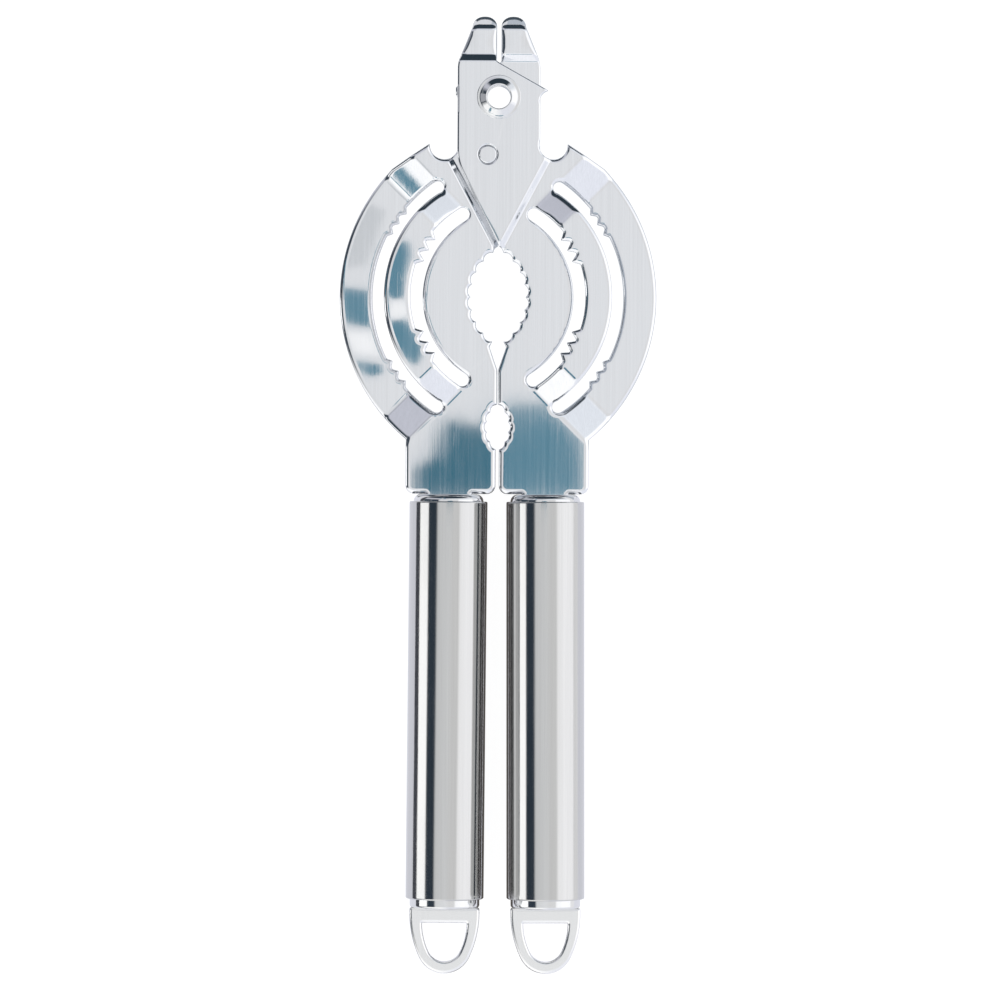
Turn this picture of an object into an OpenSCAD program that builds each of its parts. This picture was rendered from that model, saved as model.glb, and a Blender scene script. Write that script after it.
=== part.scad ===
// Pliers-style opener: two stamped arms on a hollow rivet, each with three toothed grips for caps and
// lids, a claw for ring pulls and a hollow round handle.
// X runs across the arms, Y along them towards the claws, Z is up. The rivet's axis is Z, and the origin
// lies on it, midway between the two arms' heads. Lengths are in millimetres.

/* [Sheet] */
// Thickness of the stamped sheet
sheet_t = 2; // [1.8:0.1:2.2]
// Gap between the two heads where they overlap
head_gap = 0.3; // [0.3:0.05:0.5]

/* [Grips] */
// Distance from the rivet to the line on which all the grip arcs are centred
grip_y = 51.2; // [51:0.1:51.4]
// Radius of the outline that carries the large grip
disc_r = 47.4; // [47:0.1:47.8]
// How far the large grip drops below the jaws
large_drop = 5; // [3:0.5:6]
// How far the middle grip rises above the jaws
middle_rise = 5; // [3:0.5:6]

/* [Head] */
// Half the width of the head
head_w = 10.6; // [10.4:0.1:10.8]
// Height of the claw tips above the rivet
claw_top = 21; // [20.5:0.1:21.5]
// How far the front arm's spur stands out from the head
front_spur = 2.1; // [1:0.1:2.1]
// How far the rear arm's spur stands out from the head
rear_spur = 0.5; // [0.3:0.1:1]
// Largest angle between the arms, which the stop slot sets
opening = 40; // [30:1:40]

/* [Handles] */
// Outer diameter of a handle tube
tube_d = 20; // [19:0.5:21]
// Length of a handle tube
tube_l = 101.8; // [90:0.1:120]
// Wall of a handle tube
tube_wall = 1; // [0.8:0.1:1.2]
// Distance from the centre line to a handle's axis where it meets the arm
handle_x = 12.4; // [12.2:0.1:12.6]
// Angle by which each handle leans outwards
splay = 0.3; // [0:0.1:1]

/* [Hidden] */
$fn = 96;

steel = [0.80, 0.81, 0.83];
polished = [0.88, 0.89, 0.90];
far = 200;                              // larger than any part
eps = 0.01;

// Levels of the sheet's middle plane
head_z = (sheet_t + head_gap) / 2;      // the front head's; the rear head's is its negative
jaw_gap = 0.1;                          // from the centre line to each arm's meeting flat

// Grip arcs: [distance of the arc's centre beyond the centre line, radius]
// The centres lie beyond the centre line, so that both arms' arcs close into circles as the arms open.
disc = [6.67, disc_r];
large_arc = [2.85, 35.1];
middle_outer = [3.23, 32.4];
middle_arc = [4.46, 26.8];
jaw_outer = [3.77, 23.1];
jaw_arc = [6.92, 13.85];
nut_arc = [4.5, 7.2];
nut_y = 84.5;                           // the small grip's own centre line

// Teeth: [tips' radius, pitch angle, middle of the group]
large_teeth = [33.95, 5.15, 33.8];
middle_teeth = [24.95, 7, 28];
teeth_per_group = 3;

// Slots between the grips: [x of the end's centre, its distance from the grip line, end radius]
large_slot_end = [15.5, 28.1, 1.5];
middle_slot_end = [9.1, 21.2, 1.67];

// Circles that run inside the slots and part one grip's level from the next
large_parting = [3, 33.1];
middle_parting = [4.2, 24.6];

// The grips' bends cross the arms at 45 degrees: where they start and end, measured from the grip line
bend_from = -9.83;
bend_to = -1.41;

// The head's joggle: its direction from the X axis, and where it starts and ends, measured from the rivet
joggle_a = -27.9;
joggle_from = 17.8;
joggle_to = 19.3;

// The claws
claw_step_from = 9.4;                   // where the head steps back to the jaws' level
claw_step_to = 10.9;
lip_y = 18.1;                           // where the lip bends down
lip_slope = -1.25;
claw_gap = 0.55;                        // from the centre line to a claw

// The shank below the grips
shank_x = 23.5;
shank_y = 101.7;
shank_gap = 0.42;
tang_w = 12;
tang_l = 15;

// The rivet and its washers
bore_r = 3;
barrel_r = 3.9;
running = 0.05;                         // radial clearance of the rear arm on the barrel
eyelet_r = 5.65;
eyelet_crest = 1.3;                     // height of the flange above the front head
washer_r = 6.8;
back_t = 0.5;
front_face = head_z + sheet_t / 2;
rear_face = -front_face;

// The stop stud
stud = [-2.8, -14.7];
stud_r = 2.35;
stud_pin_r = 1.5;
stud_radius = norm(stud);
stud_angle = atan2(stud[1], stud[0]);

// The handles
plug_r = tube_d / 2 - tube_wall;
plug_proud = 2.3;                       // how far a plug shows beyond its tube
neck_proud = 1.85;                      // the same for a neck plug
plug_in = 10;                           // how far it reaches into the tube
plug_edge = 1.4;
tube_top = 1.9;                         // from the arm's end to the tube's
end_y = tube_top + tube_l + plug_proud; // from the arm's end to the end plug's outer face
pin_r = 1.25;
pin_y = 9;

// The hanging loop
loop_t = 2.6;
loop_side_r = 26.4;                     // radius of the loop's long sides
loop_half_w = 9;
loop_tip_r = 7.1;
eye_side_r = 17;
eye_half_w = 5.65;
eye_tip_r = 4.45;
loop_bar = 4;                           // from the plug to the eye
loop_shoulder = 1.5;                    // straight part above the sides' curve
stem_r = 2;
stem_l = 6;

function grip(c, r, a) = [-c + r * cos(a), -grip_y + r * sin(a)];

// Points of a polygon whose corners [x, y, radius] are rounded
function rounded(p, steps = 6) = [
    for (i = [0:len(p) - 1])
        let (
            here = [p[i][0], p[i][1]],
            prev = p[(i + len(p) - 1) % len(p)],
            next = p[(i + 1) % len(p)],
            u = [prev[0] - here[0], prev[1] - here[1]],
            v = [next[0] - here[0], next[1] - here[1]],
            un = u / norm(u),
            vn = v / norm(v),
            half = acos(un * vn) / 2,
            reach = p[i][2] / tan(half),
            middle = here + (un + vn) / norm(un + vn) * p[i][2] / sin(half),
            from = here + un * reach - middle,
            to = here + vn * reach - middle,
            turn = atan2(from[0] * to[1] - from[1] * to[0], from * to)
        )
        each p[i][2] == 0 ? [here] : [
            for (k = [0:steps])
                let (a = turn * k / steps)
                middle + [from[0] * cos(a) - from[1] * sin(a), from[0] * sin(a) + from[1] * cos(a)]
        ]
];

// ---- The flat outline of the right-hand arm ----

module disc_at(arc) {
    translate([-arc[0], -grip_y]) circle(arc[1]);
}

// A group of pointed teeth on an arc, above and below the grip line
module teeth(arc, tooth) {
    root = arc[1] + 0.2;
    for (side = [-1, 1], k = [0:teeth_per_group - 1]) {
        a = side * (tooth[2] + (k - (teeth_per_group - 1) / 2) * tooth[1]);
        polygon([
            grip(arc[0], root, a - tooth[1] / 2),
            grip(arc[0], tooth[0], a),
            grip(arc[0], root, a + tooth[1] / 2)
        ]);
    }
}

// A slot that ends in two round ends, with teeth on its outer edge
module slot(outer, inner, end, tooth) {
    a = atan2(end[1], end[0] + inner[0]);
    difference() {
        union() {
            intersection() {
                difference() {
                    disc_at(outer);
                    disc_at(inner);
                }
                polygon([
                    [-inner[0], -grip_y],
                    [-inner[0], -grip_y] + far * [cos(a), -sin(a)],
                    [far, -grip_y],
                    [-inner[0], -grip_y] + far * [cos(a), sin(a)]
                ]);
            }
            for (side = [-1, 1])
                translate([end[0], -grip_y + side * end[1]]) circle(end[2], $fn = 32);
        }
        teeth(outer, tooth);
    }
}

// A round grip with scallops that leave pointed teeth between them
module scalloped(c, y, r, depth, pitch, count) {
    half = r * sin(pitch / 2);
    scallop_r = (half * half + depth * depth) / (2 * depth);
    translate([-c, -y]) {
        circle(r);
        for (k = [0:count - 1])
            rotate((k - (count - 1) / 2) * pitch)
                translate([r + depth - scallop_r, 0]) circle(scallop_r, $fn = 32);
    }
}

module head_outline(spur) {
    slope = 0.562;
    inner = [-claw_gap, 9.19];
    tip_x = head_w + spur;
    difference() {
        polygon(rounded([
            [jaw_gap, -38, 0],
            [-head_w, -16.3, 12],
            [-head_w, 8.9, 8],
            [-6.9, 18, 1],
            [-6.5, claw_top, 2.95],
            [-claw_gap, claw_top, 2.85],
            [inner[0], inner[1], 0.6],
            [tip_x, inner[1] - slope * (tip_x - inner[0]), 0],
            [tip_x, -1, 0],
            [head_w, -1, 0],
            [head_w, -30, 0]
        ]));
        translate([head_w + 2.6, -1]) circle(2.7, $fn = 48);
    }
}

module shank_outline() {
    polygon(rounded([
        [shank_gap, -60, 0],
        [shank_gap, -shank_y, 2.2],
        [shank_x, -shank_y, 2.2],
        [shank_x, -80, 0],
        [16, -70, 0]
    ]));
}

module tang_outline() {
    at_handle() translate([-tang_w / 2, -tang_l]) square([tang_w, tang_l + 1]);
}

// The notch beside the head, which leaves the cap lifter's tip
module notch() {
    translate([14, -12.2]) circle(3.66, $fn = 64);
    polygon([[head_w, -12.2], [17.66, -12.2], [18.2, 0], [head_w, 0]]);
    polygon([[17, -11.4], [17, 0], [27.5, 0], [27.5, -18.3]]);
}

// What the arm leaves free along the centre line, below the jaws
module centre_relief() {
    polygon([[-far, -38], [jaw_gap, -38], [jaw_gap, -shank_y - 1], [-far, -shank_y - 1]]);
    polygon([[-1, -61.8], [1.3, -62.4], [2.1, -64], [jaw_gap, -69.9], [-1, -69.9]]);
    translate([-1, -shank_y - 1]) square([1 + shank_gap, shank_y + 1 - 89.9]);
}

module arm_outline(spur) {
    difference() {
        union() {
            difference() {
                disc_at(disc);
                translate([-far, -far]) square([far + head_w, 2 * far]);
            }
            intersection() {
                disc_at(disc);
                translate([0, -95]) square([head_w + 1, 95 - 28]);
            }
            shank_outline();
            head_outline(spur);
        }
        notch();
        centre_relief();
        slot(large_arc, middle_outer, large_slot_end, large_teeth);
        slot(middle_arc, jaw_outer, middle_slot_end, middle_teeth);
        scalloped(jaw_arc[0], grip_y, jaw_arc[1], 0.9, 13.5, 10);
        scalloped(nut_arc[0], nut_y, nut_arc[1], 0.6, 20.3, 5);
    }
    tang_outline();
}

// ---- The bent sheet ----

// A sheet whose middle plane follows the points [s, z], with s along X and the sheet's width along Y
module sheet(path) {
    half = sheet_t / 2;
    upper = [for (p = path) [p[0], p[1] + half]];
    lower = [for (i = [len(path) - 1:-1:0]) [path[i][0], path[i][1] - half]];
    rotate([90, 0, 0]) linear_extrude(2 * far, center = true) polygon(concat(upper, lower));
}

// The strip of the plan from which a grip's level differs from the jaws'
module beyond_bends(start) {
    for (side = [-1, 1])
        translate([0, -grip_y]) scale([1, side]) rotate(-45)
            intersection() {
                translate([start, -far]) square([far, 2 * far]);
                rotate(45) translate([-far, 0]) square([2 * far, far]);
            }
}

// A grip's sheet, which leaves the jaws' level at both bends
module grip_sheet(level) {
    for (side = [0, 1])
        translate([0, -grip_y, 0]) mirror([0, side, 0])
            intersection() {
                rotate([0, 0, -45]) sheet([[-far, 0], [bend_from, 0], [bend_to, level], [far, level]]);
                translate([-far, 0, -far]) cube([2 * far, far, 2 * far]);
            }
}

module prism() {
    linear_extrude(4 * head_w, center = true) children();
}

// side is 1 for the front arm's head, which lies above the rear one's, and -1 for the rear arm's
module arm(side, spur) {
    head_level = side * head_z;
    overlap = 0.4;
    intersection() {
        prism() difference() {
            arm_outline(spur);
            translate([-far, claw_step_from]) square([2 * far, far]);
            difference() {
                beyond_bends(bend_from);
                disc_at(middle_parting);
            }
        }
        rotate([0, 0, joggle_a])
            sheet([[-far, head_level], [joggle_from, head_level], [joggle_to, 0], [far, 0]]);
    }
    intersection() {
        prism() intersection() {
            arm_outline(spur);
            translate([-far, claw_step_from - overlap]) square([2 * far, far]);
        }
        rotate([0, 0, 90]) sheet([
            [0, head_level],
            [claw_step_from, head_level],
            [claw_step_to, 0],
            [lip_y, 0],
            [lip_y + 10, 10 * lip_slope]
        ]);
    }
    intersection() {
        prism() difference() {
            intersection() {
                arm_outline(spur);
                beyond_bends(bend_from - overlap);
            }
            disc_at(large_parting);
        }
        grip_sheet(-large_drop);
    }
    intersection() {
        prism() difference() {
            intersection() {
                arm_outline(spur);
                beyond_bends(bend_from - overlap);
                disc_at(large_parting);
            }
            disc_at(middle_parting);
        }
        grip_sheet(middle_rise);
    }
}

module front_arm_plate() {
    color(steel) difference() {
        arm(1, front_spur);
        cylinder(r = barrel_r, h = far, center = true);
        translate([stud[0], stud[1], 0]) cylinder(r = stud_r, h = far, center = true);
        translate([stud[0], stud[1], front_face - 0.5]) cylinder(r1 = stud_r, r2 = stud_r + 0.8, h = 0.5 + eps);
        at_handle() translate([0, -pin_y, 0]) cylinder(r = pin_r, h = far, center = true, $fn = 32);
    }
}

// The curved slot that the stud's pin runs in, which ends the opening
module stop_slot() {
    r = stud_pin_r + 0.15;
    rotate(stud_angle) {
        intersection() {
            difference() {
                circle(stud_radius + r);
                circle(stud_radius - r);
            }
            polygon([
                [0, 0],
                [30, 0],
                30 * [cos(opening / 2), sin(opening / 2)],
                30 * [cos(opening), sin(opening)]
            ]);
        }
        for (a = [0, opening])
            rotate(a) translate([stud_radius, 0]) circle(1.02 * r, $fn = 48);
    }
}

module rear_arm_plate() {
    color(steel) difference() {
        mirror([1, 0, 0]) arm(-1, rear_spur);
        cylinder(r = barrel_r + running, h = far, center = true);
        translate([0, 0, rear_face - 1]) linear_extrude(sheet_t + 1.5) stop_slot();
        mirror([1, 0, 0]) at_handle() translate([0, -pin_y, 0])
            cylinder(r = pin_r, h = far, center = true, $fn = 32);
    }
}

// ---- The pivot ----

module pivot_eyelet() {
    back = rear_face - back_t;
    color(polished) rotate_extrude() polygon([
        [bore_r, back - 0.3],
        [bore_r + 0.35, back - 0.8],
        [bore_r + 0.9, back - 0.9],
        [eyelet_r - 0.9, back - 0.6],
        [eyelet_r - 0.4, back],
        [barrel_r, back],
        [barrel_r, front_face],
        [eyelet_r, front_face],
        [eyelet_r - 0.15, front_face + 0.2],
        [eyelet_r - 0.8, front_face + 0.4],
        [bore_r + 0.4, front_face + eyelet_crest],
        [bore_r + 0.15, front_face + eyelet_crest - 0.1],
        [bore_r, front_face + 0.8]
    ]);
}

module washer(inner, outer, z, t) {
    translate([0, 0, z]) difference() {
        cylinder(r = outer, h = t);
        translate([0, 0, -1]) cylinder(r = inner, h = t + 2);
    }
}

module spacer_washer() {
    color(steel) washer(barrel_r + 0.02, washer_r, -head_gap / 2 + 0.03, head_gap - 0.03);
}

module back_washer() {
    color(steel) washer(barrel_r + 0.02, washer_r, rear_face - back_t, back_t - 0.03);
}

module stop_stud() {
    color(polished) translate([stud[0], stud[1], 0]) rotate_extrude($fn = 48) polygon([
        [0, front_face + 0.05],
        [stud_r - 0.45, front_face + 0.05],
        [stud_r, front_face - 0.45],
        [stud_r, head_gap / 2],
        [stud_pin_r, head_gap / 2],
        [stud_pin_r, rear_face - 0.2],
        [stud_pin_r - 0.3, rear_face - 0.5],
        [0, rear_face - 0.5]
    ]);
}

// ---- The handles, drawn for the right hand with Y along the handle and 0 at the arm's end ----

module at_handle() {
    translate([handle_x, -shank_y]) rotate(splay) children();
}

module on_side(side) {
    mirror([side < 0 ? 1 : 0, 0, 0]) at_handle() children();
}

// A cylinder-like solid about the handle's axis, from its half profile [radius, y]
module turned(profile) {
    rotate([90, 0, 0]) rotate_extrude() polygon([for (p = profile) [p[0], -p[1]]]);
}

module handle_tube() {
    color(polished) turned([
        [plug_r, -tube_top],
        [tube_d / 2 - 0.3, -tube_top],
        [tube_d / 2, -tube_top - 0.3],
        [tube_d / 2, -tube_top - tube_l + 0.3],
        [tube_d / 2 - 0.3, -tube_top - tube_l],
        [plug_r, -tube_top - tube_l]
    ]);
}

// A plug's half profile; it shows above y and reaches down into the tube
function plug_profile(y) = concat(
    [[0, y]],
    [for (a = [90:-15:0]) [plug_r - plug_edge + plug_edge * cos(a), y - plug_edge + plug_edge * sin(a)]],
    [[plug_r, y - plug_proud - plug_in], [0, y - plug_proud - plug_in]]
);

module neck_plug() {
    color(polished) difference() {
        turned(plug_profile(neck_proud - tube_top));
        translate([-tang_w / 2, -tang_l, -sheet_t / 2]) cube([tang_w, tang_l + 1, sheet_t]);
        translate([0, -pin_y, 0]) cylinder(r = pin_r, h = far, center = true, $fn = 32);
    }
}

module tang_pin() {
    color(steel) translate([0, -pin_y, 0]) cylinder(r = pin_r, h = 2 * plug_r - 3, center = true, $fn = 32);
}

module end_plug() {
    color(polished) difference() {
        translate([0, -end_y, 0]) mirror([0, 1, 0]) turned(plug_profile(0));
        translate([0, -end_y - 1, 0]) rotate([-90, 0, 0]) cylinder(r = stem_r, h = stem_l + 1, $fn = 48);
    }
}

// Half an oval below y = 0: two side arcs that run into a round tip
module oval(half_w, side_r, tip_r) {
    side_c = side_r - half_w;
    tip_c = sqrt((side_r - tip_r) ^ 2 - side_c ^ 2);
    tangent_y = -tip_c * side_r / (side_r - tip_r);
    intersection() {
        translate([side_c, 0]) circle(side_r, $fn = 128);
        translate([-side_c, 0]) circle(side_r, $fn = 128);
        translate([-half_w, tangent_y]) square([2 * half_w, -tangent_y]);
    }
    intersection() {
        translate([0, -tip_c]) circle(tip_r, $fn = 64);
        translate([-half_w, tangent_y - side_r]) square([2 * half_w, side_r + eps]);
    }
}

module hanging_loop() {
    color(polished) translate([0, -end_y, 0]) {
        linear_extrude(loop_t, center = true) difference() {
            union() {
                translate([0, -loop_shoulder]) oval(loop_half_w, loop_side_r, loop_tip_r);
                translate([-loop_half_w, -loop_shoulder - eps])
                    polygon(rounded([
                        [0, 0, 0],
                        [2 * loop_half_w, 0, 0],
                        [2 * loop_half_w, loop_shoulder + eps, 0.6],
                        [0, loop_shoulder + eps, 0.6]
                    ]));
            }
            translate([0, -loop_bar]) oval(eye_half_w, eye_side_r, eye_tip_r);
        }
        rotate([-90, 0, 0]) cylinder(r = stem_r, h = stem_l, $fn = 48);
    }
}

front_arm_plate();
rear_arm_plate();
pivot_eyelet();
spacer_washer();
back_washer();
stop_stud();
on_side(-1) handle_tube();  // left_handle_tube
on_side(-1) neck_plug();  // left_neck_plug
on_side(-1) tang_pin();  // left_tang_pin
on_side(-1) end_plug();  // left_end_plug
on_side(-1) hanging_loop();  // left_hanging_loop
on_side(1) handle_tube();  // right_handle_tube
on_side(1) neck_plug();  // right_neck_plug
on_side(1) tang_pin();  // right_tang_pin
on_side(1) end_plug();  // right_end_plug
on_side(1) hanging_loop();  // right_hanging_loop
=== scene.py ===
"""Pliers-style opener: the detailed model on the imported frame, with its studio. Lengths in mm until a
mesh is made, which is in metres."""
import math

import bpy
import numpy as np
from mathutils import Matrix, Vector, geometry, kdtree


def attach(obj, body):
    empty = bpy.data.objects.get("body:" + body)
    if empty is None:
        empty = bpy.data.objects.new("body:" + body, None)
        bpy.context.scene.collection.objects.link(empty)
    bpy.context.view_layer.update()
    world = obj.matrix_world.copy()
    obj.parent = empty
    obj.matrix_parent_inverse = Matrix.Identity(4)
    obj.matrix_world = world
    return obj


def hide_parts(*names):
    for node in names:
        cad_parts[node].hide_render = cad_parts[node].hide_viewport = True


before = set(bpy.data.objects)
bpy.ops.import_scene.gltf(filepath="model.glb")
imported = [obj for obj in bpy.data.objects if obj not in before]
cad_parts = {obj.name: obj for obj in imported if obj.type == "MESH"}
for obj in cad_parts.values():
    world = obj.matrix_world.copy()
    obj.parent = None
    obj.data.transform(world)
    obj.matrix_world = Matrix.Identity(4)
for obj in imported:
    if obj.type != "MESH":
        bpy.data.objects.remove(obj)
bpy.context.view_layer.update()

MM = 0.001
FRONT, REAR = "front_arm", "rear_arm"

# Sheet: half its thickness, how far each head lies off the arms' plane, and the front head's upper face
HALF_T = 1.0
HEAD_Z = 1.15
FACE = HEAD_Z + HALF_T
# The arms' box (x and y from, x and y to), and the (width, height) of the rolled edges above and below
ARM_BOX = (-12.5, -108, 42, 22.5)
UPPER, LOWER = (1.35, 0.72), (0.8, 0.5)

# Pivot and stop: radii of the heads' hole and of the rivet, the stud's place and radii, its pin's slot
HOLE_R = 3.95
BARREL_R = 3.9
BORE_R = 3.0
STUD = (-2.8, -14.7)
STUD_R = 2.35
STUD_HOLE_R = 2.37
PIN_R = 1.5
SLOT_R = 1.66
OPENING = math.radians(40)

# Grips. An arc is (how far its centre lies beyond the centre line, radius); GRIP_Y is measured down from
# the rivet
GRIP_Y = 51.2
DISC = (6.67, 47.4)
LARGE_ARC = (2.85, 35.1)
MIDDLE_OUTER = (3.23, 32.4)
MIDDLE_ARC = (4.46, 26.8)
JAW_OUTER = (3.77, 23.1)
JAW_ARC = (6.92, 13.85)
NUT_ARC = (4.5, 7.2)
NUT_Y = 84.5
# Teeth are (radius of the tips, degrees from one to the next, degrees to the middle one of three)
LARGE_TEETH = (33.95, 5.15, 33.8)
MIDDLE_TEETH = (24.95, 7, 28)
# Arcs in the slots between the grips: outside each one the sheet has the level of the next grip out
LARGE_PARTING = (3, 33.1)
MIDDLE_PARTING = (4.2, 24.6)
LARGE_DROP = -5.0
MIDDLE_RISE = 5.0

# Bends, each from one place to another across it, with its kinks rounded over its SOFT to either side
BEND = (-9.83, -1.41)
BEND_SOFT = 1.0
JOGGLE_TURN = math.radians(27.9)
JOGGLE = (17.8, 19.3)
JOGGLE_SOFT = 0.5
CLAW_STEP = (9.25, 11.05)
CLAW_STEP_SOFT = 0.45
LIP_Y = 18.1
LIP_SLOPE = -1.25
LIP_SOFT = 1.3

# Handles: where they meet the arms, their splay, and lengths along them from there
SHANK_Y = 101.7
HANDLE_X = 12.4
SPLAY = math.radians(0.3)
TUBE_TOP = 1.9
TUBE_L = 101.8
TUBE_R = 10
TUBE_INSIDE = 9.0
TUBE_ROUND = 0.4
PLUG_R = 8.95
PLUG_L = 9
END_Y = TUBE_TOP + TUBE_L + 2.3


# ---- Distances to flat shapes: negative inside ----

def circle(x, y, cx, cy, r):
    return np.hypot(x - cx, y - cy) - r


def polygon(x, y, pts):
    best = np.full(x.shape, 1e9)
    inside = np.zeros(x.shape, bool)
    for (ax, ay), (bx, by) in zip(pts, pts[1:] + pts[:1]):
        ex, ey = bx - ax, by - ay
        t = np.clip(((x - ax) * ex + (y - ay) * ey) / (ex * ex + ey * ey), 0, 1)
        best = np.minimum(best, np.hypot(x - ax - t * ex, y - ay - t * ey))
        if ay != by:
            crosses = (ay > y) != (by > y)
            inside ^= crosses & (x < ex * (y - ay) / ey + ax)
    return np.where(inside, -best, best)


def rounded(corners, steps=8):
    """Points of a polygon whose corners (x, y, radius) are rounded."""
    pts = []
    for i, (x, y, r) in enumerate(corners):
        here = np.array([x, y], float)
        if r == 0:
            pts.append((x, y))
            continue
        u = np.array(corners[i - 1][:2]) - here
        v = np.array(corners[(i + 1) % len(corners)][:2]) - here
        u, v = u / np.linalg.norm(u), v / np.linalg.norm(v)
        half = math.acos(np.clip(u @ v, -1, 1)) / 2
        middle = here + (u + v) / np.linalg.norm(u + v) * r / math.sin(half)
        a = here + u * r / math.tan(half) - middle
        b = here + v * r / math.tan(half) - middle
        turn = math.atan2(a[0] * b[1] - a[1] * b[0], a @ b)
        for k in range(steps + 1):
            c, s = math.cos(turn * k / steps), math.sin(turn * k / steps)
            pts.append((middle[0] + a[0] * c - a[1] * s, middle[1] + a[0] * s + a[1] * c))
    return pts


def on_arc(c, r, degrees):
    a = math.radians(degrees)
    return -c + r * math.cos(a), -GRIP_Y + r * math.sin(a)


# ---- The right-hand arm's outline ----

def slot(x, y, outer, inner, end, teeth):
    """A slot between two arcs, with round ends (x, y, radius) and three teeth near each end."""
    tip_r, pitch, middle = teeth
    base_r = outer[1] + 0.3
    a = math.atan2(end[1], end[0] + inner[0])
    far = 90
    wedge = [
        (-inner[0], -GRIP_Y),
        (-inner[0] + far * math.cos(a), -GRIP_Y - far * math.sin(a)),
        (2 * far, -GRIP_Y),
        (-inner[0] + far * math.cos(a), -GRIP_Y + far * math.sin(a)),
    ]
    within = circle(x, y, -outer[0], -GRIP_Y, outer[1])
    beyond = -circle(x, y, -inner[0], -GRIP_Y, inner[1])
    shape = np.maximum(np.maximum(within, beyond), polygon(x, y, wedge))
    for side in (-1, 1):
        shape = np.minimum(shape, circle(x, y, end[0], -GRIP_Y + side * end[1], end[2]))
        for k in (-1, 0, 1):
            a = side * (middle + k * pitch)
            shape = np.maximum(shape, -polygon(x, y, [
                on_arc(outer[0], base_r, a - pitch / 2),
                on_arc(outer[0], tip_r, a),
                on_arc(outer[0], base_r, a + pitch / 2),
            ]))
    return shape


def scalloped(x, y, c, cy, r, depth, pitch, count):
    """A round opening about (-c, -cy) with hollows cut into its right-hand side, pitch degrees apart."""
    half = r * math.sin(math.radians(pitch) / 2)
    sr = (half * half + depth * depth) / (2 * depth)
    shape = circle(x, y, -c, -cy, r)
    for k in range(count):
        a = math.radians((k - (count - 1) / 2) * pitch)
        d = r + depth - sr
        shape = np.minimum(shape, circle(x, y, -c + d * math.cos(a), -cy + d * math.sin(a), sr))
    return shape


def arm_outline(spur):
    """The right-hand arm, flat; spur is how far the head's pointed corner stands out."""
    def shape(x, y):
        head_w, gap, top = 10.6, 0.55, 21.0
        tip = head_w + spur
        disc = circle(x, y, -DISC[0], -GRIP_Y, DISC[1])
        grips = np.maximum(disc, head_w - x)
        middle = np.maximum(disc, polygon(x, y, [(0, -95), (12, -95), (12, -28), (0, -28)]))
        shank = polygon(x, y, rounded([
            (0.42, -60, 0), (0.42, -SHANK_Y, 2.2), (23.5, -SHANK_Y, 2.2), (23.5, -80, 0), (16, -70, 0)]))
        head = polygon(x, y, rounded([
            (0.1, -38, 0), (-head_w, -16.3, 12), (-head_w, 8.9, 8), (-6.9, 18, 1), (-6.5, top, 2.95),
            (-gap, top, 2.85), (-gap, 9.19, 0.6), (tip, 9.19 - 0.562 * (tip + gap), 0), (tip, -1, 0),
            (head_w, -1, 0), (head_w, -30, 0)]))
        head = np.maximum(head, -circle(x, y, head_w + 2.6, -1, 2.7))
        body = np.minimum(np.minimum(grips, middle), np.minimum(shank, head))
        cuts = [
            circle(x, y, 14, -12.2, 3.66),
            polygon(x, y, [(head_w, -12.2), (17.66, -12.2), (18.2, 0), (head_w, 0)]),
            polygon(x, y, [(17, -11.4), (17, 0), (27.5, 0), (27.5, -18.3)]),
            polygon(x, y, [(-90, -38), (0.1, -38), (0.1, -103), (-90, -103)]),
            polygon(x, y, [(-1, -61.8), (1.3, -62.4), (2.1, -64), (0.1, -69.9), (-1, -69.9)]),
            polygon(x, y, [(-1, -103), (0.42, -103), (0.42, -89.9), (-1, -89.9)]),
            slot(x, y, LARGE_ARC, MIDDLE_OUTER, (15.5, 28.1, 1.5), LARGE_TEETH),
            slot(x, y, MIDDLE_ARC, JAW_OUTER, (9.1, 21.2, 1.67), MIDDLE_TEETH),
            scalloped(x, y, JAW_ARC[0], GRIP_Y, JAW_ARC[1], 0.9, 13.5, 10),
            scalloped(x, y, NUT_ARC[0], NUT_Y, NUT_ARC[1], 0.6, 20.3, 5),
        ]
        for cut in cuts:
            body = np.maximum(body, -cut)
        c, s = math.cos(SPLAY), math.sin(SPLAY)
        tang = [(HANDLE_X + u * c - v * s, -SHANK_Y + u * s + v * c)
                for u, v in ((-6, -6), (6, -6), (6, 1), (-6, 1))]
        return np.minimum(body, polygon(x, y, tang))
    return shape


# ---- The bent sheet's middle plane ----

def ramp(s, start, end, soft):
    """0 before start and 1 after end, with each kink rounded over +-soft."""
    def kink(u):
        return np.where(u <= -soft, 0, np.where(u >= soft, u, (u + soft) ** 2 / (4 * soft)))
    return (kink(s - start) - kink(s - end)) / (end - start)


def arm_level(side):
    """The height of the middle plane; side is 1 for the head on top and -1 for the head behind."""
    lip_run = 10

    def level(x, y):
        v = y + GRIP_Y
        s = (x - np.abs(v)) / math.sqrt(2)
        r_large = np.hypot(x + LARGE_PARTING[0], v)
        r_middle = np.hypot(x + MIDDLE_PARTING[0], v)
        grip = np.where(r_large > LARGE_PARTING[1], LARGE_DROP,
                        np.where(r_middle > MIDDLE_PARTING[1], MIDDLE_RISE, 0))
        z = grip * ramp(s, *BEND, BEND_SOFT)
        j = x * math.cos(JOGGLE_TURN) - y * math.sin(JOGGLE_TURN)
        before_joggle = 1 - ramp(j, *JOGGLE, JOGGLE_SOFT)
        below_claws = 1 - ramp(y, *CLAW_STEP, CLAW_STEP_SOFT)
        head = side * HEAD_Z * before_joggle * below_claws
        lip = LIP_SLOPE * lip_run * ramp(y, LIP_Y, LIP_Y + lip_run, LIP_SOFT)
        return z + head + lip
    return level


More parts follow.
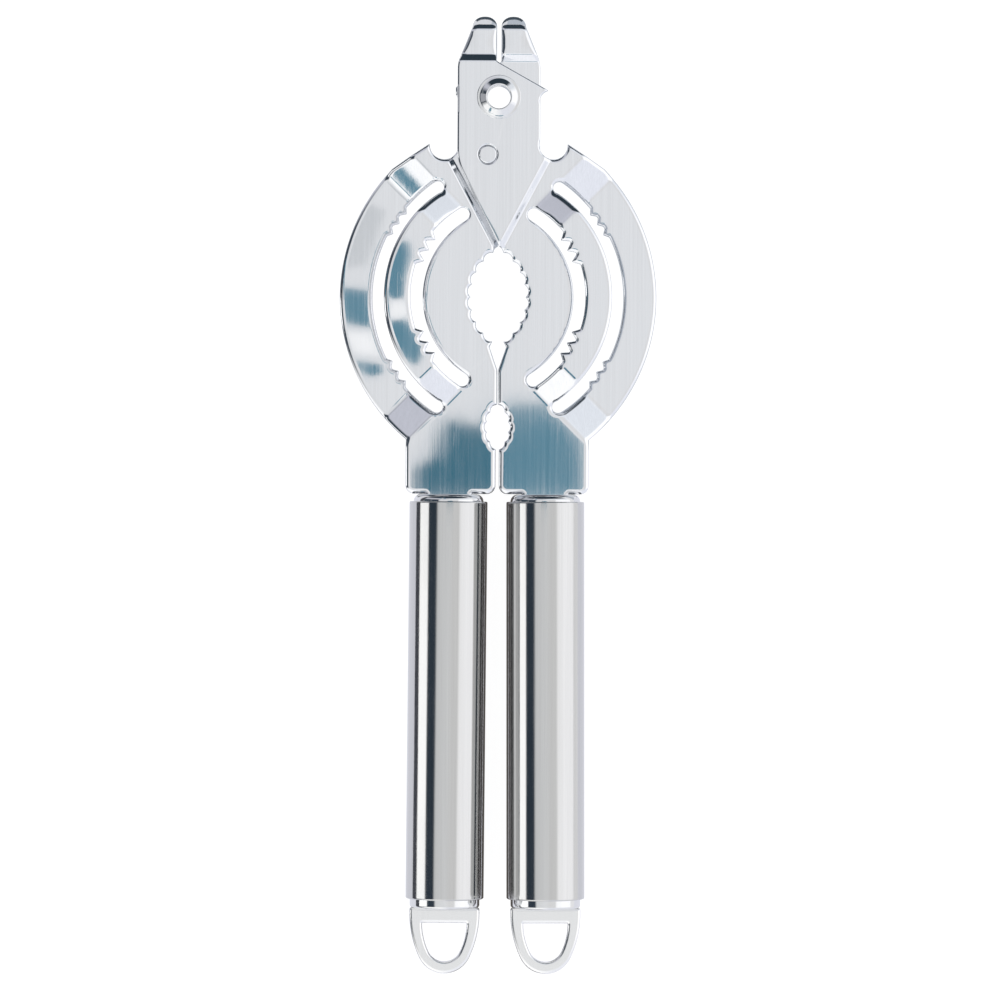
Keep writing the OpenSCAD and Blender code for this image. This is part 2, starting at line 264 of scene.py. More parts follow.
def bend_lines():
    """Lines across the sheet where its level's slope changes, as pairs of points."""
    def about(kinks, soft, half_count):
        return [at + soft * k / half_count for at in kinks for k in range(-half_count, half_count + 1)]

    lines = []
    h = math.sqrt(2)
    far = 50
    for s in about(BEND, BEND_SOFT, 2):
        for side in (-1, 1):
            lines.append(((s * h, -GRIP_Y), (s * h + far, -GRIP_Y + side * far)))
    c, n = math.cos(JOGGLE_TURN), math.sin(JOGGLE_TURN)
    far = 60
    for j in about(JOGGLE, JOGGLE_SOFT, 2):
        lines.append(((j * c + far * n, -j * n + far * c), (j * c - far * n, -j * n - far * c)))
    far = 20
    for y in about(CLAW_STEP, CLAW_STEP_SOFT, 4) + about((LIP_Y,), LIP_SOFT, 4):
        lines.append(((-far, y), (far, y)))
    return lines


# ---- A stamped piece: a flat outline, bent, with its edges rolled round ----

def contours(field, xs, ys, level):
    """Closed polylines where a grid of values crosses a level."""
    f = field - level
    inside = f < 0
    links = {}

    def cross(j, i, horizontal):
        j2, i2 = (j, i + 1) if horizontal else (j + 1, i)
        a, b = f[j, i], f[j2, i2]
        t = a / (a - b)
        return (xs[i] + t * (xs[i2] - xs[i]), ys[j] + t * (ys[j2] - ys[j]))

    mixed = inside[:-1, :-1].astype(int) + inside[1:, :-1] + inside[:-1, 1:] + inside[1:, 1:]
    for j, i in zip(*np.nonzero((mixed > 0) & (mixed < 4))):
        edges = []
        for key, a, b in (
            ((j, i, True), inside[j, i], inside[j, i + 1]),
            ((j, i + 1, False), inside[j, i + 1], inside[j + 1, i + 1]),
            ((j + 1, i, True), inside[j + 1, i + 1], inside[j + 1, i]),
            ((j, i, False), inside[j + 1, i], inside[j, i]),
        ):
            if a != b:
                edges.append(key)
        if len(edges) == 4 and inside[j, i]:
            edges = edges[1:] + edges[:1]
        for a, b in zip(edges[::2], edges[1::2]):
            links.setdefault(a, []).append(b)
            links.setdefault(b, []).append(a)
    loops = []
    while links:
        start = next(iter(links))
        path, here, last = [], start, None
        while True:
            path.append(cross(*here))
            nexts = links.pop(here)
            step = nexts[0] if nexts[0] != last else nexts[-1]
            last, here = here, step
            if here == start or here not in links:
                break
        if len(path) > 5:
            loops.append(np.array(path))
    return loops


def thinned(path, tolerance, longest):
    """A closed polyline with the points dropped that its shape doesn't need."""
    n = len(path)
    keep = {0, n // 2}
    stack = [(0, n // 2), (n // 2, n)]
    while stack:
        a, b = stack.pop()
        if b - a < 2:
            continue
        p, q = path[a], path[b % n]
        d = q - p
        length = np.hypot(*d)
        m = path[a + 1:b]
        off = np.abs((m[:, 0] - p[0]) * d[1] - (m[:, 1] - p[1]) * d[0]) / max(length, 1e-9)
        if length < 1e-6:
            off = np.hypot(m[:, 0] - p[0], m[:, 1] - p[1])
        k = int(off.argmax())
        if off[k] > tolerance:
            k += a + 1
        elif length > longest:
            k = (a + b) // 2
        else:
            continue
        keep.add(k)
        stack += [(a, k), (k, b)]
    return path[sorted(keep)]


class Grid:
    """Signed distance to an outline on a grid, negative inside."""

    def __init__(self, shape, box, step, reach):
        self.xs = np.arange(box[0], box[2] + step, step)
        self.ys = np.arange(box[1], box[3] + step, step)
        self.step = step
        x, y = np.meshgrid(self.xs, self.ys)
        f = shape(x, y)
        self.edge = contours(f, self.xs, self.ys, 0)
        tree = kdtree.KDTree(sum(len(p) for p in self.edge))
        before, after, n = [], [], 0
        for path in self.edge:
            for k, p in enumerate(path):
                tree.insert((p[0], p[1], 0), n)
                n += 1
            before.append(np.roll(path, 1, 0))
            after.append(np.roll(path, -1, 0))
        tree.balance()
        pts, before, after = np.vstack(self.edge), np.vstack(before), np.vstack(after)
        # Near the rim the values become true distances to it
        near = np.abs(f) < reach * 1.5 + 3 * step
        jj, ii = np.nonzero(near)
        found = np.array([tree.find((self.xs[i], self.ys[j], 0))[1] for j, i in zip(jj, ii)])
        q = np.stack([self.xs[ii], self.ys[jj]], 1)
        best = np.full(len(q), 1e9)
        for ends in (before, after):
            a, b = pts[found], ends[found]
            e = b - a
            t = np.clip(((q - a) * e).sum(1) / np.maximum((e * e).sum(1), 1e-12), 0, 1)
            best = np.minimum(best, np.hypot(*(q - a - t[:, None] * e).T))
        f[jj, ii] = np.where(f[jj, ii] < 0, -best, best)
        self.f = f
        self.gy, self.gx = np.gradient(f, step)

    def at(self, values, x, y):
        u = np.clip((x - self.xs[0]) / self.step, 0, len(self.xs) - 1.001)
        v = np.clip((y - self.ys[0]) / self.step, 0, len(self.ys) - 1.001)
        i, j = u.astype(int), v.astype(int)
        s, t = u - i, v - j
        return ((values[j, i] * (1 - s) + values[j, i + 1] * s) * (1 - t)
                + (values[j + 1, i] * (1 - s) + values[j + 1, i + 1] * s) * t)


def roll(d, width, height):
    """How far a rolled edge falls at a distance d from the rim, and its slope there."""
    u = np.clip(1 - d / width, 0, 1)
    root = np.sqrt(np.maximum(1 - u * u, 1e-7))
    return height * (1 - root), -height / width * u / root


# Where a rolled edge has its rings of points, as shares of its width, and how far a ring may stray
RINGS = (0, 0.012, 0.06, 0.16, 0.32, 0.55, 0.8, 1)
TOLERANCE = 0.006


def stamped(shape, box, level, upper, lower, lines=(), step=0.2, half=HALF_T, thin=None):
    """A sheet piece. upper and lower are the (width, height) of the rolled edge on each face. thin is
    a function of x and y that says how much of the upper edge's roll is left."""
    reach = max(upper[0], lower[0])
    grid = Grid(shape, box, step, reach)
    points, edges = [], []
    for depth in RINGS:
        longest = 1.2 if depth < 1 else 2.5
        for path in contours(grid.f, grid.xs, grid.ys, -depth * reach):
            path = thinned(path, TOLERANCE, longest)
            if len(path) < 4:
                continue
            first = len(points)
            points += [Vector(p) for p in path]
            edges += [(first + k, first + (k + 1) % len(path)) for k in range(len(path))]
    for a, b in lines:
        points += [Vector(a), Vector(b)]
        edges.append((len(points) - 2, len(points) - 1))
    vs, _, faces, *_ = geometry.delaunay_2d_cdt(points, edges, [], 0, 1e-5)
    p = np.array([tuple(v) for v in vs])
    tri = np.array([tuple(f) for f in faces])
    middle = p[tri].mean(1)
    tri = tri[grid.at(grid.f, middle[:, 0], middle[:, 1]) < 0]
    used, tri = np.unique(tri, return_inverse=True)
    p, tri = p[used], tri.reshape(-1, 3)
    a, b, c = p[tri[:, 0]], p[tri[:, 1]], p[tri[:, 2]]
    area = (b[:, 0] - a[:, 0]) * (c[:, 1] - a[:, 1]) - (b[:, 1] - a[:, 1]) * (c[:, 0] - a[:, 0])
    tri = np.where((area < 0)[:, None], tri[:, ::-1], tri)[np.abs(area) > 1e-9]
    # The rim: edges with one triangle
    directed = np.vstack([tri[:, [0, 1]], tri[:, [1, 2]], tri[:, [2, 0]]])
    keys = set(map(tuple, directed))
    rim = np.array([e for e in keys if (e[1], e[0]) not in keys])
    x, y = p[:, 0], p[:, 1]
    depth = np.maximum(-grid.at(grid.f, x, y), 0)
    depth[np.unique(rim)] = 0
    gx, gy = -grid.at(grid.gx, x, y), -grid.at(grid.gy, x, y)
    norm = np.maximum(np.hypot(gx, gy), 1e-6)
    gx, gy = gx / norm, gy / norm
    z = level(x, y)
    # The bends' slopes. One measured across the jump between two grips is dropped: the jump lies in a slot
    h, steepest = 0.05, 3
    zx = (level(x + h, y) - level(x - h, y)) / (2 * h)
    zy = (level(x, y + h) - level(x, y - h)) / (2 * h)
    zx, zy = np.where(np.abs(zx) > steepest, 0, zx), np.where(np.abs(zy) > steepest, 0, zy)
    share = thin(x, y) if thin else 1.0
    fall, slope = roll(depth, upper[0] * share, upper[1] * share)
    top = np.stack([x, y, z + half - fall], 1)
    top_n = np.stack([-zx + slope * gx, -zy + slope * gy, np.ones(len(x))], 1)
    fall, slope = roll(depth, *lower)
    bottom = np.stack([x, y, z - half + fall], 1)
    bottom_n = np.stack([zx + slope * gx, zy + slope * gy, -np.ones(len(x))], 1)
    n = len(p)
    walls = np.stack([rim[:, 1], rim[:, 0], rim[:, 0] + n, rim[:, 1] + n], 1)
    faces = [tuple(f) for part in (tri, tri[:, ::-1] + n, walls) for f in part.tolist()]
    normals = np.vstack([top_n, bottom_n])
    normals /= np.linalg.norm(normals, axis=1)[:, None]
    return np.vstack([top, bottom]), faces, normals


def make(name, verts, faces, normals=None, sharp=40):
    mesh = bpy.data.meshes.new(name)
    mesh.from_pydata((np.asarray(verts) * MM).tolist(), [], faces)
    mesh.validate()
    mesh.polygons.foreach_set("use_smooth", [True] * len(mesh.polygons))
    if normals is None:
        mesh.set_sharp_from_angle(angle=math.radians(sharp))
    else:
        mesh.normals_split_custom_set_from_vertices(np.asarray(normals).tolist())
    obj = bpy.data.objects.new(name, mesh)
    bpy.context.collection.objects.link(obj)
    return obj


def mirrored(verts, faces, normals):
    flip = np.array([-1, 1, 1])
    return verts * flip, [f[::-1] for f in faces], None if normals is None else normals * flip


def at_handle(verts, normals=None):
    """From a handle's own place, Y along it and 0 at the arm's end, to the right-hand side."""
    c, s = math.cos(SPLAY), math.sin(SPLAY)
    turn = np.array([[c, -s, 0], [s, c, 0], [0, 0, 1]])
    moved = np.asarray(verts) @ turn.T + [HANDLE_X, -SHANK_Y, 0]
    return moved, None if normals is None else normals @ turn.T


def arc(cx, cy, r, a0, a1, steps):
    return [(cx + r * math.cos(math.radians(a0 + (a1 - a0) * k / steps)),
             cy + r * math.sin(math.radians(a0 + (a1 - a0) * k / steps))) for k in range(steps + 1)]


def turned(profile, segments=192, closed=False):
    """A solid of revolution about Z from its half profile (radius, z), top to bottom on the outside."""
    verts, faces = [], []
    rings = []
    for r, z in profile:
        if r < 1e-6:
            rings.append([len(verts)])
            verts.append((0, 0, z))
        else:
            rings.append(list(range(len(verts), len(verts) + segments)))
            verts += [(r * math.cos(2 * math.pi * k / segments), r * math.sin(2 * math.pi * k / segments), z)
                      for k in range(segments)]
    pairs = list(zip(rings, rings[1:])) + ([(rings[-1], rings[0])] if closed else [])
    for a, b in pairs:
        for k in range(segments):
            k2 = (k + 1) % segments
            if len(a) == 1:
                faces.append((a[0], b[k], b[k2]))
            elif len(b) == 1:
                faces.append((a[k], b[0], a[k2]))
            else:
                faces.append((a[k], b[k], b[k2], a[k2]))
    return np.array(verts, float), faces


def laid_along(profile, segments=192):
    """A solid of revolution laid along the handle: its z becomes y. It has no normals of its own."""
    verts, faces = turned(profile, segments)
    return verts[:, [0, 2, 1]] * [1, 1, -1], faces, None


# ---- Materials ----

class Nodes:
    """The shader nodes of a material or a world, from an empty start."""

    def __init__(self, owner):
        owner.use_nodes = True
        self.tree = owner.node_tree
        self.tree.nodes.clear()

    def add(self, kind, inputs, **props):
        """A node of a kind. Each input is a number or colour, or the socket that feeds it."""
        node = self.tree.nodes.new(kind)
        for key, value in props.items():
            setattr(node, key, value)
        for key, value in inputs.items():
            if isinstance(value, bpy.types.NodeSocket):
                self.tree.links.new(value, node.inputs[key])
            else:
                node.inputs[key].default_value = value
        return node

    def scaled(self, value, low, high, to_low=0, to_high=1):
        """The value held between low and high, and that range stretched to the other."""
        return self.add("ShaderNodeMapRange", {"Value": value, "From Min": low, "From Max": high,
                                               "To Min": to_low, "To Max": to_high}).outputs["Result"]

    def calculate(self, operation, first, *others):
        """The operation on all the values, from left to right."""
        out = first
        for value in others:
            out = self.add("ShaderNodeMath", {0: out, 1: value}, operation=operation).outputs[0]
        return out

    def mix(self, factor, a, b):
        """The colour a where the factor is 0 and b where it is 1."""
        return self.add("ShaderNodeMix", {0: factor, 6: a, 7: b}, data_type="RGBA").outputs[2]


WORN = (0.9, 0.9, 0.91, 1)


def steel(name, color, rough, streak, bump, fine, spread):
    """Steel with hairlines along Y, a few scratches and worn edges. streak is how much the hairlines vary
    the roughness, spread how much they vary the colour, and fine their count per metre."""
    material = bpy.data.materials.new(name)
    nodes = Nodes(material)
    where = nodes.add("ShaderNodeTexCoord", {}).outputs["Object"]

    def noise(scale, detail, turn=0.0):
        mapping = nodes.add("ShaderNodeMapping", {"Vector": where, "Scale": scale, "Rotation": (0, 0, turn)})
        texture = nodes.add("ShaderNodeTexNoise", {"Vector": mapping.outputs[0], "Scale": 1.0,
                                                   "Detail": detail, "Roughness": 0.6})
        return texture.outputs["Fac"]

    # Noise keeps mostly between 0.25 and 0.75. Its scales are counts per metre
    hair = nodes.scaled(noise((fine, 22, fine * 0.6), 3), 0.25, 0.75, -1, 1)
    lines = nodes.scaled(noise((fine * 0.22, 9, fine * 0.2), 4), 0.25, 0.75, -0.6, 0.6)
    brushing = nodes.calculate("ADD", hair, lines)
    smudge = noise((70, 45, 70), 5)
    grit = noise((1600, 1600, 1600), 2)
    # A scratch is the thin line where a stretched noise crosses its middle, here and there
    ridge = noise((420, 34, 420), 1, 0.35)
    off_ridge = nodes.calculate("ABSOLUTE", nodes.calculate("SUBTRACT", ridge, 0.5), 0.0)
    here_and_there = nodes.scaled(noise((90, 60, 90), 1), 0.58, 0.66)
    scratch = nodes.calculate("MULTIPLY", nodes.scaled(off_ridge, 0, 0.006, 1, 0), here_and_there)
    pointiness = nodes.add("ShaderNodeNewGeometry", {}).outputs["Pointiness"]
    wear = nodes.calculate("MULTIPLY", nodes.scaled(pointiness, 0.52, 0.62),
                           nodes.scaled(smudge, 0.35, 0.6, 0.2, 1))

    roughness = nodes.calculate(
        "ADD",
        nodes.scaled(brushing, -1.6, 1.6, rough - streak, rough + streak),
        nodes.scaled(smudge, 0.35, 0.7, -0.01, 0.03),
        nodes.scaled(scratch, 0, 1, 0, 0.06),
        nodes.scaled(wear, 0, 1, 0, 0.03))
    pale = tuple(min(1, c * (1 + spread)) for c in color) + (1,)
    dark = tuple(c * (1 - spread) for c in color) + (1,)
    tone = nodes.mix(nodes.scaled(brushing, -1.4, 1.4), dark, pale)
    tone = nodes.mix(nodes.scaled(wear, 0, 1, 0, 0.3), tone, WORN)
    height = nodes.calculate("ADD", brushing, nodes.scaled(grit, 0.3, 0.7, -0.15, 0.15),
                             nodes.scaled(scratch, 0, 1, 0, -1.5))
    relief = nodes.add("ShaderNodeBump", {"Height": height, "Strength": 1.0, "Distance": bump})
    shader = nodes.add("ShaderNodeBsdfPrincipled", {"Metallic": 1.0, "Roughness": roughness,
                                                    "Base Color": tone, "Normal": relief.outputs[0]})
    nodes.add("ShaderNodeOutputMaterial", {"Surface": shader.outputs[0]})
    return material


# Name, colour, roughness, streak, bump in metres, hairlines per metre, spread
SHEET = steel("sheet_steel", (0.82, 0.83, 0.85), 0.08, 0.045, 0.9e-6, 3600, 0.05)
TUBE = steel("tube_steel", (0.63, 0.63, 0.625), 0.10, 0.04, 0.8e-6, 4200, 0.05)
POLISHED = steel("polished_steel", (0.78, 0.785, 0.79), 0.08, 0.02, 0.3e-6, 3000, 0.02)
SATIN = steel("satin_steel", (0.87, 0.87, 0.865), 0.2, 0.03, 0.8e-6, 3600, 0.02)


def place(name, data, body, slot_name, material, *replaced, sharp=40):
    verts, faces, normals = data
    obj = make(name, verts, faces, normals, sharp)
    obj.data.materials.append(material)
    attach(obj, body)
    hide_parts(*replaced)


# ---- The arms ----

def with_holes(outline, holes):
    def shape(x, y):
        f = outline(x, y)
        for cx, cy, r in holes:
            f = np.maximum(f, -circle(x, y, cx, cy, r))
        return f
    return shape


def head_edge(x, y):
    """How round the edges are: less on the heads than on the grips, and more on the claws' sides."""
    beside = np.clip((13.5 - np.abs(x)) / 2, 0, 1)
    along = np.clip((y + 34) / 4, 0, 1) * np.clip((11 - y) / 1.5, 0, 1)
    claws = np.clip((y - 11.3) / 1.5, 0, 1) * np.clip((17 - y) / 1.5, 0, 1)
    return 1 - 0.45 * beside * along + 0.4 * claws


front_shape = with_holes(arm_outline(2.1), [(0, 0, HOLE_R), (*STUD, STUD_HOLE_R)])
front = stamped(front_shape, ARM_BOX, arm_level(1), UPPER, LOWER, bend_lines(), thin=head_edge)
place("front_arm", front, FRONT, "arm_sheet", SHEET, "front_arm_plate")


def stop_slot(x, y):
    """The rear head's curved slot, drawn as the left-hand arm's mirror image is."""
    radius, start = math.hypot(*STUD), math.atan2(STUD[1], STUD[0])
    steps = 32
    f = np.full(x.shape, 1e9)
    for k in range(steps + 1):
        a = start + OPENING * k / steps
        f = np.minimum(f, circle(x, y, -radius * math.cos(a), radius * math.sin(a), SLOT_R))
    return f


def rear_shape(x, y):
    return np.maximum(with_holes(arm_outline(0.5), [(0, 0, HOLE_R)])(x, y), -stop_slot(x, y))


rear = stamped(rear_shape, ARM_BOX, arm_level(-1), UPPER, LOWER, bend_lines(), thin=head_edge)
place("rear_arm", mirrored(*rear), REAR, "arm_sheet", SHEET, "rear_arm_plate")

# ---- The pivot ----

WASHER_T = 0.5
back = -FACE - WASHER_T
eyelet = (
    arc(3.3, FACE + 1.0, 0.3, 180, 60, 8)
    + [(4.55, FACE + 0.52), (4.8, FACE + 0.4), (5.1, FACE + 0.34), (5.35, FACE + 0.27)]
    + arc(5.45, FACE + 0.1, 0.18, 60, -60, 6)
    + [(BARREL_R, FACE), (BARREL_R, back), (5.2, back), (4.75, back - 0.6)]
    + [(3.9, back - 0.88), (3.35, back - 0.75), (BORE_R, back - 0.3)]
)
verts, faces = turned(eyelet, closed=True)
place("pivot_rivet", (verts, faces, None), FRONT, "rivet_steel", POLISHED, "pivot_eyelet")

PIN_TOP = 0.15
stud = (
    [(0, FACE + 0.05), (1.0, FACE + 0.05), (1.8, FACE + 0.03)]
    + arc(1.87, FACE - 0.43, 0.46, 90, 0, 6)
    + [(2.33, FACE - 0.5), (STUD_R, FACE - 1.2), (STUD_R, PIN_TOP), (PIN_R, PIN_TOP)]
    + [(PIN_R, back + 0.3), (1.3, back + 0.05), (0, back + 0.05)]
)
verts, faces = turned(stud)
place("stop_pin", (verts + [*STUD, 0], faces, None), FRONT, "rivet_steel", SHEET, "stop_stud")

# ---- The handles ----

# The side has rings close to each end, so that the round there doesn't tint the shading of the whole side
tube_foot = -TUBE_TOP - TUBE_L
tube = (
    [(TUBE_INSIDE, -TUBE_TOP - 0.02), (9.55, -TUBE_TOP)]
    + arc(TUBE_R - TUBE_ROUND, -TUBE_TOP - TUBE_ROUND, TUBE_ROUND, 90, 0, 8)
    + [(TUBE_R, -TUBE_TOP - TUBE_L * t) for t in (0.0042, 0.005, 0.25, 0.5, 0.75, 0.995, 0.9958)]
    + arc(TUBE_R - TUBE_ROUND, tube_foot + TUBE_ROUND, TUBE_ROUND, 0, -90, 8)
    + [(9.55, tube_foot), (TUBE_INSIDE, tube_foot + 0.02)]
)


def plug(face, out, soft):
    """A plug's half profile: where its outer face lies, which way that looks, and how round its edge is."""
    edge = arc(PLUG_R - soft, face - out * (soft + 0.02), soft, out * 86, 0, 10)
    inner = face - out * PLUG_L
    side = [(PLUG_R, face - out * (soft + 0.06)), (PLUG_R, face - out * 4), (PLUG_R, inner), (0, inner)]
    return [(0, face), (3, face), (5, face - out * 0.01)] + edge + side


def oval(x, y, y0, half_w, side_r, tip_r):
    """A half oval that hangs below y0: two side arcs that run into a smaller arc at the tip."""
    side_c = side_r - half_w
    tip_c = math.sqrt((side_r - tip_r) ** 2 - side_c ** 2)
    tangent = -tip_c * side_r / (side_r - tip_r)
    sides = np.maximum(circle(x, y, side_c, y0, side_r), circle(x, y, -side_c, y0, side_r))
    upper = np.maximum(np.maximum(sides, y - y0), y0 + tangent - y)
    tip = np.maximum(circle(x, y, 0, y0 - tip_c, tip_r), y - (y0 + tangent) - 0.02)
    return np.minimum(upper, tip)


def loop_shape(x, y):
    collar = polygon(x, y, rounded([(-9, -1.6, 0), (9, -1.6, 0), (9, 0, 0.6), (-9, 0, 0.6)]))
    body = np.minimum(oval(x, y, -1.5, 9, 26.4, 7.1), collar)
    return np.maximum(body, -oval(x, y, -4, 5.65, 17, 4.45))


def flat(x, y):
    return np.zeros(np.shape(x))


LOOP_BOX = (-10, -18.5, 10, 1)
LOOP_EDGE = (0.95, 0.8)
LOOP_HALF_T = 1.3
verts, faces, normals = stamped(loop_shape, LOOP_BOX, flat, LOOP_EDGE, LOOP_EDGE, step=0.12, half=LOOP_HALF_T)
loop = (verts + [0, -END_Y, 0], faces, normals)

for side, body in ((1, FRONT), (-1, REAR)):
    word = "right" if side > 0 else "left"
    made = [
        ("handle_tube", laid_along(tube, 256), "handle_steel", TUBE),
        ("neck_plug", laid_along(plug(face=-0.05, out=1, soft=1.8)), "plug_steel", POLISHED),
        ("end_plug", laid_along(plug(face=-END_Y, out=-1, soft=0.7)), "plug_steel", POLISHED),
        ("hanging_loop", loop, "loop_steel", SATIN),
    ]
    for part, (verts, faces, normals), slot_name, material in made:
        verts, normals = at_handle(verts, normals)
        data = (verts, faces, normals)
        if side < 0:
            data = mirrored(*data)
        place(f"{word}_{part}_visual", data, body, slot_name, material, f"{word}_{part}", sharp=30)

for node in ("spacer_washer", "back_washer", "left_tang_pin", "right_tang_pin"):
    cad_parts[node].data.materials.clear()
    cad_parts[node].data.materials.append(POLISHED)

# ---- The studio ----

FLOOR_Z = -10.0
HIDDEN_FROM = ("camera", "diffuse", "shadow", "transmission", "volume_scatter")


def stage_face(name, corners):
    """One flat face of the studio, and the empty nodes of its material."""
    mesh = bpy.data.meshes.new(name)
    mesh.from_pydata([tuple(c * MM for c in p) for p in corners], [], [tuple(range(len(corners)))])
    obj = bpy.data.objects.new(name, mesh)
    bpy.context.collection.objects.link(obj)
    material = bpy.data.materials.new(name)
    mesh.materials.append(material)
    return obj, Nodes(material)


def studio_card(name, corners, color):
    """A card that only reflections see."""
    obj, nodes = stage_face(name, corners)
    glow = nodes.add("ShaderNodeEmission", {"Color": (*color, 1), "Strength": 1.0})
    nodes.add("ShaderNodeOutputMaterial", {"Surface": glow.outputs[0]})
    for kind in HIDDEN_FROM:
        setattr(obj, "visible_" + kind, False)


def make_floor():
    r, z = 2000, FLOOR_Z
    _, nodes = stage_face("studio_floor", [(-r, -r, z), (r, -r, z), (r, r, z), (-r, r, z)])
    shader = nodes.add("ShaderNodeBsdfPrincipled", {"Base Color": (0.2, 0.2, 0.2, 1), "Roughness": 0.9,
                                                    "Emission Color": (1, 1, 1, 1),
                                                    "Emission Strength": 0.93})
    nodes.add("ShaderNodeOutputMaterial", {"Surface": shader.outputs[0]})


PLAIN, STRIP, NAVY = (0.9, 0.9, 0.9), (1.55, 1.55, 1.55), (0.035, 0.05, 0.07)
# What reflections see round the object: degrees about its length, 0 straight up and 90 to the right
BANDS = [
    (-180, PLAIN), (-92, PLAIN), (-90, STRIP), (-62, STRIP), (-58, NAVY), (-35, NAVY),
    (-29, (0.80, 0.81, 0.82)), (-10, (0.84, 0.85, 0.865)), (4, (0.87, 0.88, 0.895)),
    (16, (0.83, 0.83, 0.835)), (32, (0.84, 0.84, 0.845)), (37, (1.2, 1.2, 1.22)),
    (60, (1.3, 1.3, 1.33)), (90, (1.25, 1.25, 1.28)), (92, PLAIN), (180, PLAIN),
]


def make_world():
    world = bpy.data.worlds.new("studio")
    bpy.context.scene.world = world
    nodes = Nodes(world)
    direction = nodes.add("ShaderNodeTexCoord", {}).outputs["Generated"]
    x, y, z = nodes.add("ShaderNodeSeparateXYZ", {"Vector": direction}).outputs
    across = nodes.calculate("ARCTAN2", x, z)
    ramp = nodes.add("ShaderNodeValToRGB", {"Fac": nodes.scaled(across, -math.pi, math.pi)})
    elements = ramp.color_ramp.elements
    while len(elements) > 1:
        elements.remove(elements[-1])
    for k, (degrees, color) in enumerate(BANDS):
        at = (degrees + 180) / 360
        element = elements[0] if k == 0 else elements.new(at)
        element.position = at
        element.color = (*color, 1)

    # The white at the lower left is a narrow strip: only surfaces turned straight to the side see it
    low_left = nodes.calculate("MULTIPLY",
                               nodes.scaled(across, math.radians(-56), math.radians(-62)),
                               nodes.scaled(across, math.radians(-93), math.radians(-92)))
    off_strip = nodes.calculate("ADD", nodes.scaled(y, 0.02, 0.032), nodes.scaled(y, -0.10, -0.13))
    beyond_strip = nodes.calculate("MULTIPLY", low_left, off_strip)
    sky = nodes.mix(beyond_strip, ramp.outputs[0], (0.04, 0.06, 0.08, 1))
    # Towards +Y and towards -Y the sky has a left and a right tone, and close to +Y it is dark
    to_right = nodes.scaled(x, -0.2, 0.2)
    towards_top = nodes.mix(to_right, (0.62, 0.63, 0.70, 1), (0.90, 0.935, 0.99, 1))
    towards_foot = nodes.mix(to_right, (1.2, 1.2, 1.2, 1), (0.93, 0.95, 1.02, 1))
    sky = nodes.mix(nodes.scaled(y, 0.35, 0.55), sky, towards_top)
    sky = nodes.mix(nodes.scaled(y, 0.66, 0.76), sky, (0.03, 0.045, 0.06, 1))
    sky = nodes.mix(nodes.scaled(nodes.calculate("MULTIPLY", y, -1.0), 0.2, 0.4), sky, towards_foot)
    seen = nodes.add("ShaderNodeLightPath", {}).outputs["Is Camera Ray"]
    color = nodes.mix(seen, sky, (1, 1, 1, 1))
    background = nodes.add("ShaderNodeBackground", {"Color": color, "Strength": 1.0})
    nodes.add("ShaderNodeOutputWorld", {"Surface": background.outputs[0]})


make_floor()
make_world()

# The floor as reflections see it: (x from, x to, y from, y to, colour). It is pale or grey beside the
# object, and dark between the handles, just past the claws and far to the left. Each tone lies a little
# above the last
BESIDE_HANDLES = (0.86, 0.87, 0.95)
FAR = 900
FLOOR_TONES = (
    (-FAR, -66, -FAR, FAR, (0.07, 0.075, 0.09)),
    (-66, -7, -FAR, -90, BESIDE_HANDLES),
    (-7, 7, -FAR, -90, (0.11, 0.10, 0.095)),
    (7, 62, -FAR, -90, BESIDE_HANDLES),
    (-66, 0.4, -90, FAR, (0.80, 0.81, 0.84)),
    (0.4, 62, -90, FAR, (0.52, 0.56, 0.62)),
    (62, FAR, -FAR, FAR, (0.95, 0.95, 0.97)),
    (-9, 9, 21.5, 37, (0.06, 0.08, 0.10)),
)
for k, (x0, x1, y0, y1, color) in enumerate(FLOOR_TONES):
    z = FLOOR_Z + 0.02 + 0.01 * k
    studio_card(f"floor_tone_{k}", [(x0, y0, z), (x1, y0, z), (x1, y1, z), (x0, y1, z)], color)

# A small grey card beside the rivet, upright and square to X
x, half_w, z0, z1 = -14, 3.5, 3, 13
studio_card("rivet_flag", [(x, -half_w, z0), (x, -half_w, z1), (x, half_w, z1), (x, half_w, z0)],
            (0.42, 0.43, 0.46))

# The camera's place, the width of what it sees at the arms' plane in metres, and its roll in radians
EYE = np.array([0.78, -103.2, 1400.0])
VIEW_WIDTH = 0.25641
ROLL = 0.00506
SENSOR = 36
TEAL, DEEP_TEAL = (0.12, 0.275, 0.365), (0.058, 0.178, 0.25)
GREY, WHITE = (0.68, 0.70, 0.72), (1.08, 1.08, 1.08)


def mirrored_card(name, corners, normal, reach, color):
    """A card that shows in the mirror of a flat face as the shape with these corners (x, y, z)."""
    n = np.array(normal, float) / np.linalg.norm(normal)
    out = []
    for p in corners:
        d = np.array(p, float) - EYE
        d /= np.linalg.norm(d)
        r = d - 2 * (d @ n) * n
        out.append(tuple(np.array(p, float) + r * reach))
    studio_card(name, out, color)


UP = (0, 0, 1)
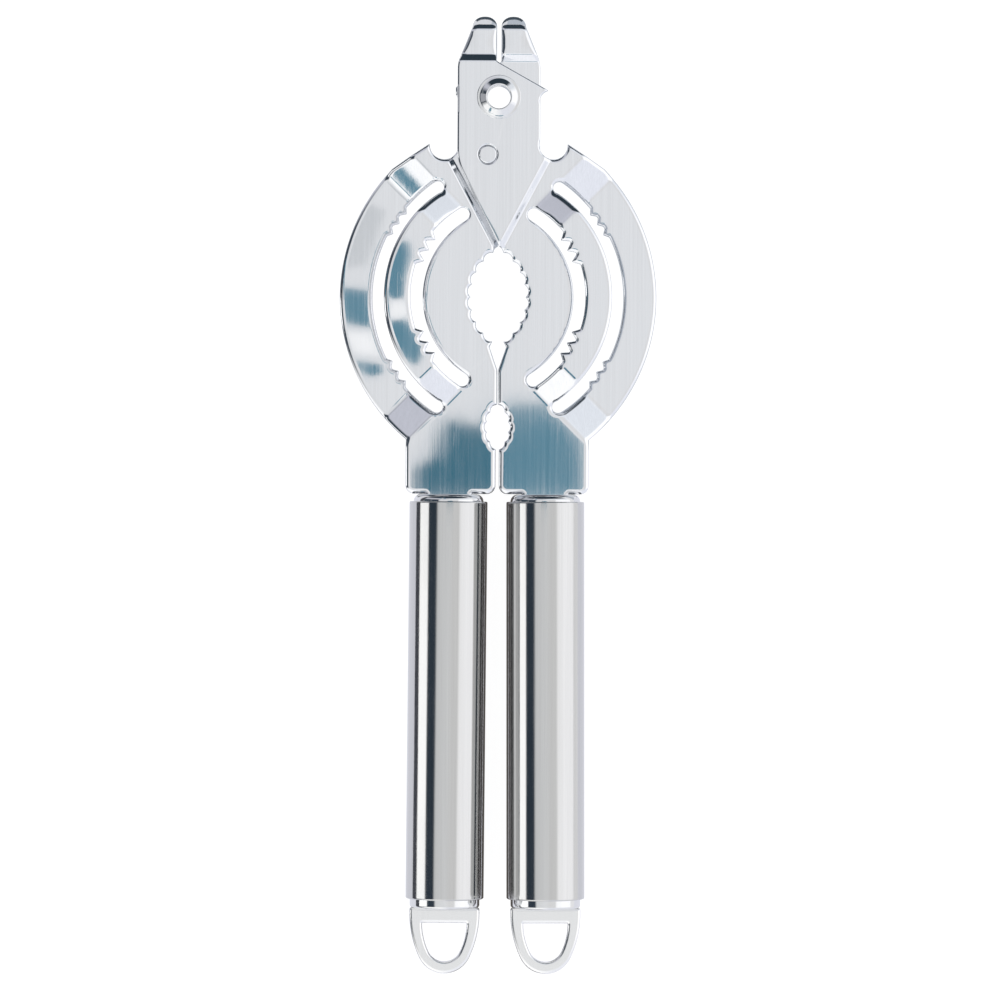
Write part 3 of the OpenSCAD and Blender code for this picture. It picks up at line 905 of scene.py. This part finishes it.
# Height of the face, how far off the card hangs, colour, outline on the face
flat_cards = {
    "left_shank": (1, 150, DEEP_TEAL, [(-21.8, -103), (-21.7, -95.6), (-16.7, -92.2), (-14.8, -86.2),
                                       (-13.3, -82.3), (-4.2, -84.5), (0, -82), (0, -103)]),
    "right_shank": (1, 150, TEAL, [(0, -103), (0, -82), (2.7, -78.6), (10.1, -78.8), (13.2, -77.8),
                                   (15.3, -81.3), (22.2, -88.2), (22.9, -103)]),
    "large_left": (-4, 50, TEAL, [(-41.5, -48.6), (-33, -49.6), (-32.2, -59.1), (-38.2, -58.1),
                                  (-40.5, -57)]),
    "large_left_low": (-4, 50, TEAL, [(-37.5, -67.5), (-30.2, -68.5), (-29.4, -70.6), (-32.2, -71.6),
                                      (-35.5, -70.5)]),
    "middle_left": (6, 50, TEAL, [(-30, -41), (-25.9, -36.9), (-22.9, -37.6), (-22.3, -40.9), (-23.7, -45.8),
                                  (-24.3, -51.7), (-27, -52), (-30, -50)]),
    "middle_left_low": (6, 50, TEAL, [(-29, -57.8), (-23.3, -57.2), (-20.9, -60.6), (-18.9, -65),
                                      (-20.6, -69), (-23.8, -67.5), (-27.5, -62)]),
    "large_left_top": (-4, 60, GREY, [(-36, -26), (-29, -29), (-34, -43), (-40.5, -44), (-40, -36)]),
    "large_left_gap": (-4, 60, WHITE, [(-40.5, -60), (-31.5, -60.5), (-30.5, -66.5), (-36.8, -65.5)]),
    "middle_left_gap": (6, 60, WHITE, [(-27, -52.8), (-23.6, -52.4), (-22.5, -56.6), (-28, -57)]),
}
for name, (z, reach, color, outline) in flat_cards.items():
    mirrored_card("card_" + name, [(x, y, z) for x, y in outline], UP, reach, color)


def on_left_bend(s, w):
    """A point of the left-hand large grip's upper bend: s across the bend, w along it."""
    h = math.sqrt(0.5)
    z = LARGE_DROP * (s - BEND[0]) / (BEND[1] - BEND[0]) + HALF_T
    return -(w + s) * h, (w - s) * h - GRIP_Y, z


tilt = -LARGE_DROP / (BEND[1] - BEND[0]) * math.sqrt(0.5)
patch = [on_left_bend(s, w) for s, w in ((-5.8, 29), (-2.6, 29), (-3.2, 48), (-6.4, 48))]
mirrored_card("card_bend", patch, (-tilt, -tilt, 1), 40, TEAL)

camera = bpy.data.objects.new("camera", bpy.data.cameras.new("camera"))
bpy.context.collection.objects.link(camera)
camera.data.sensor_width = SENSOR
camera.data.lens = SENSOR * EYE[2] * MM / VIEW_WIDTH
camera.data.clip_end = 20
camera.location = EYE * MM
camera.rotation_euler = (0, 0, ROLL)
bpy.context.scene.camera = camera
bpy.context.scene.view_settings.view_transform = "Standard"
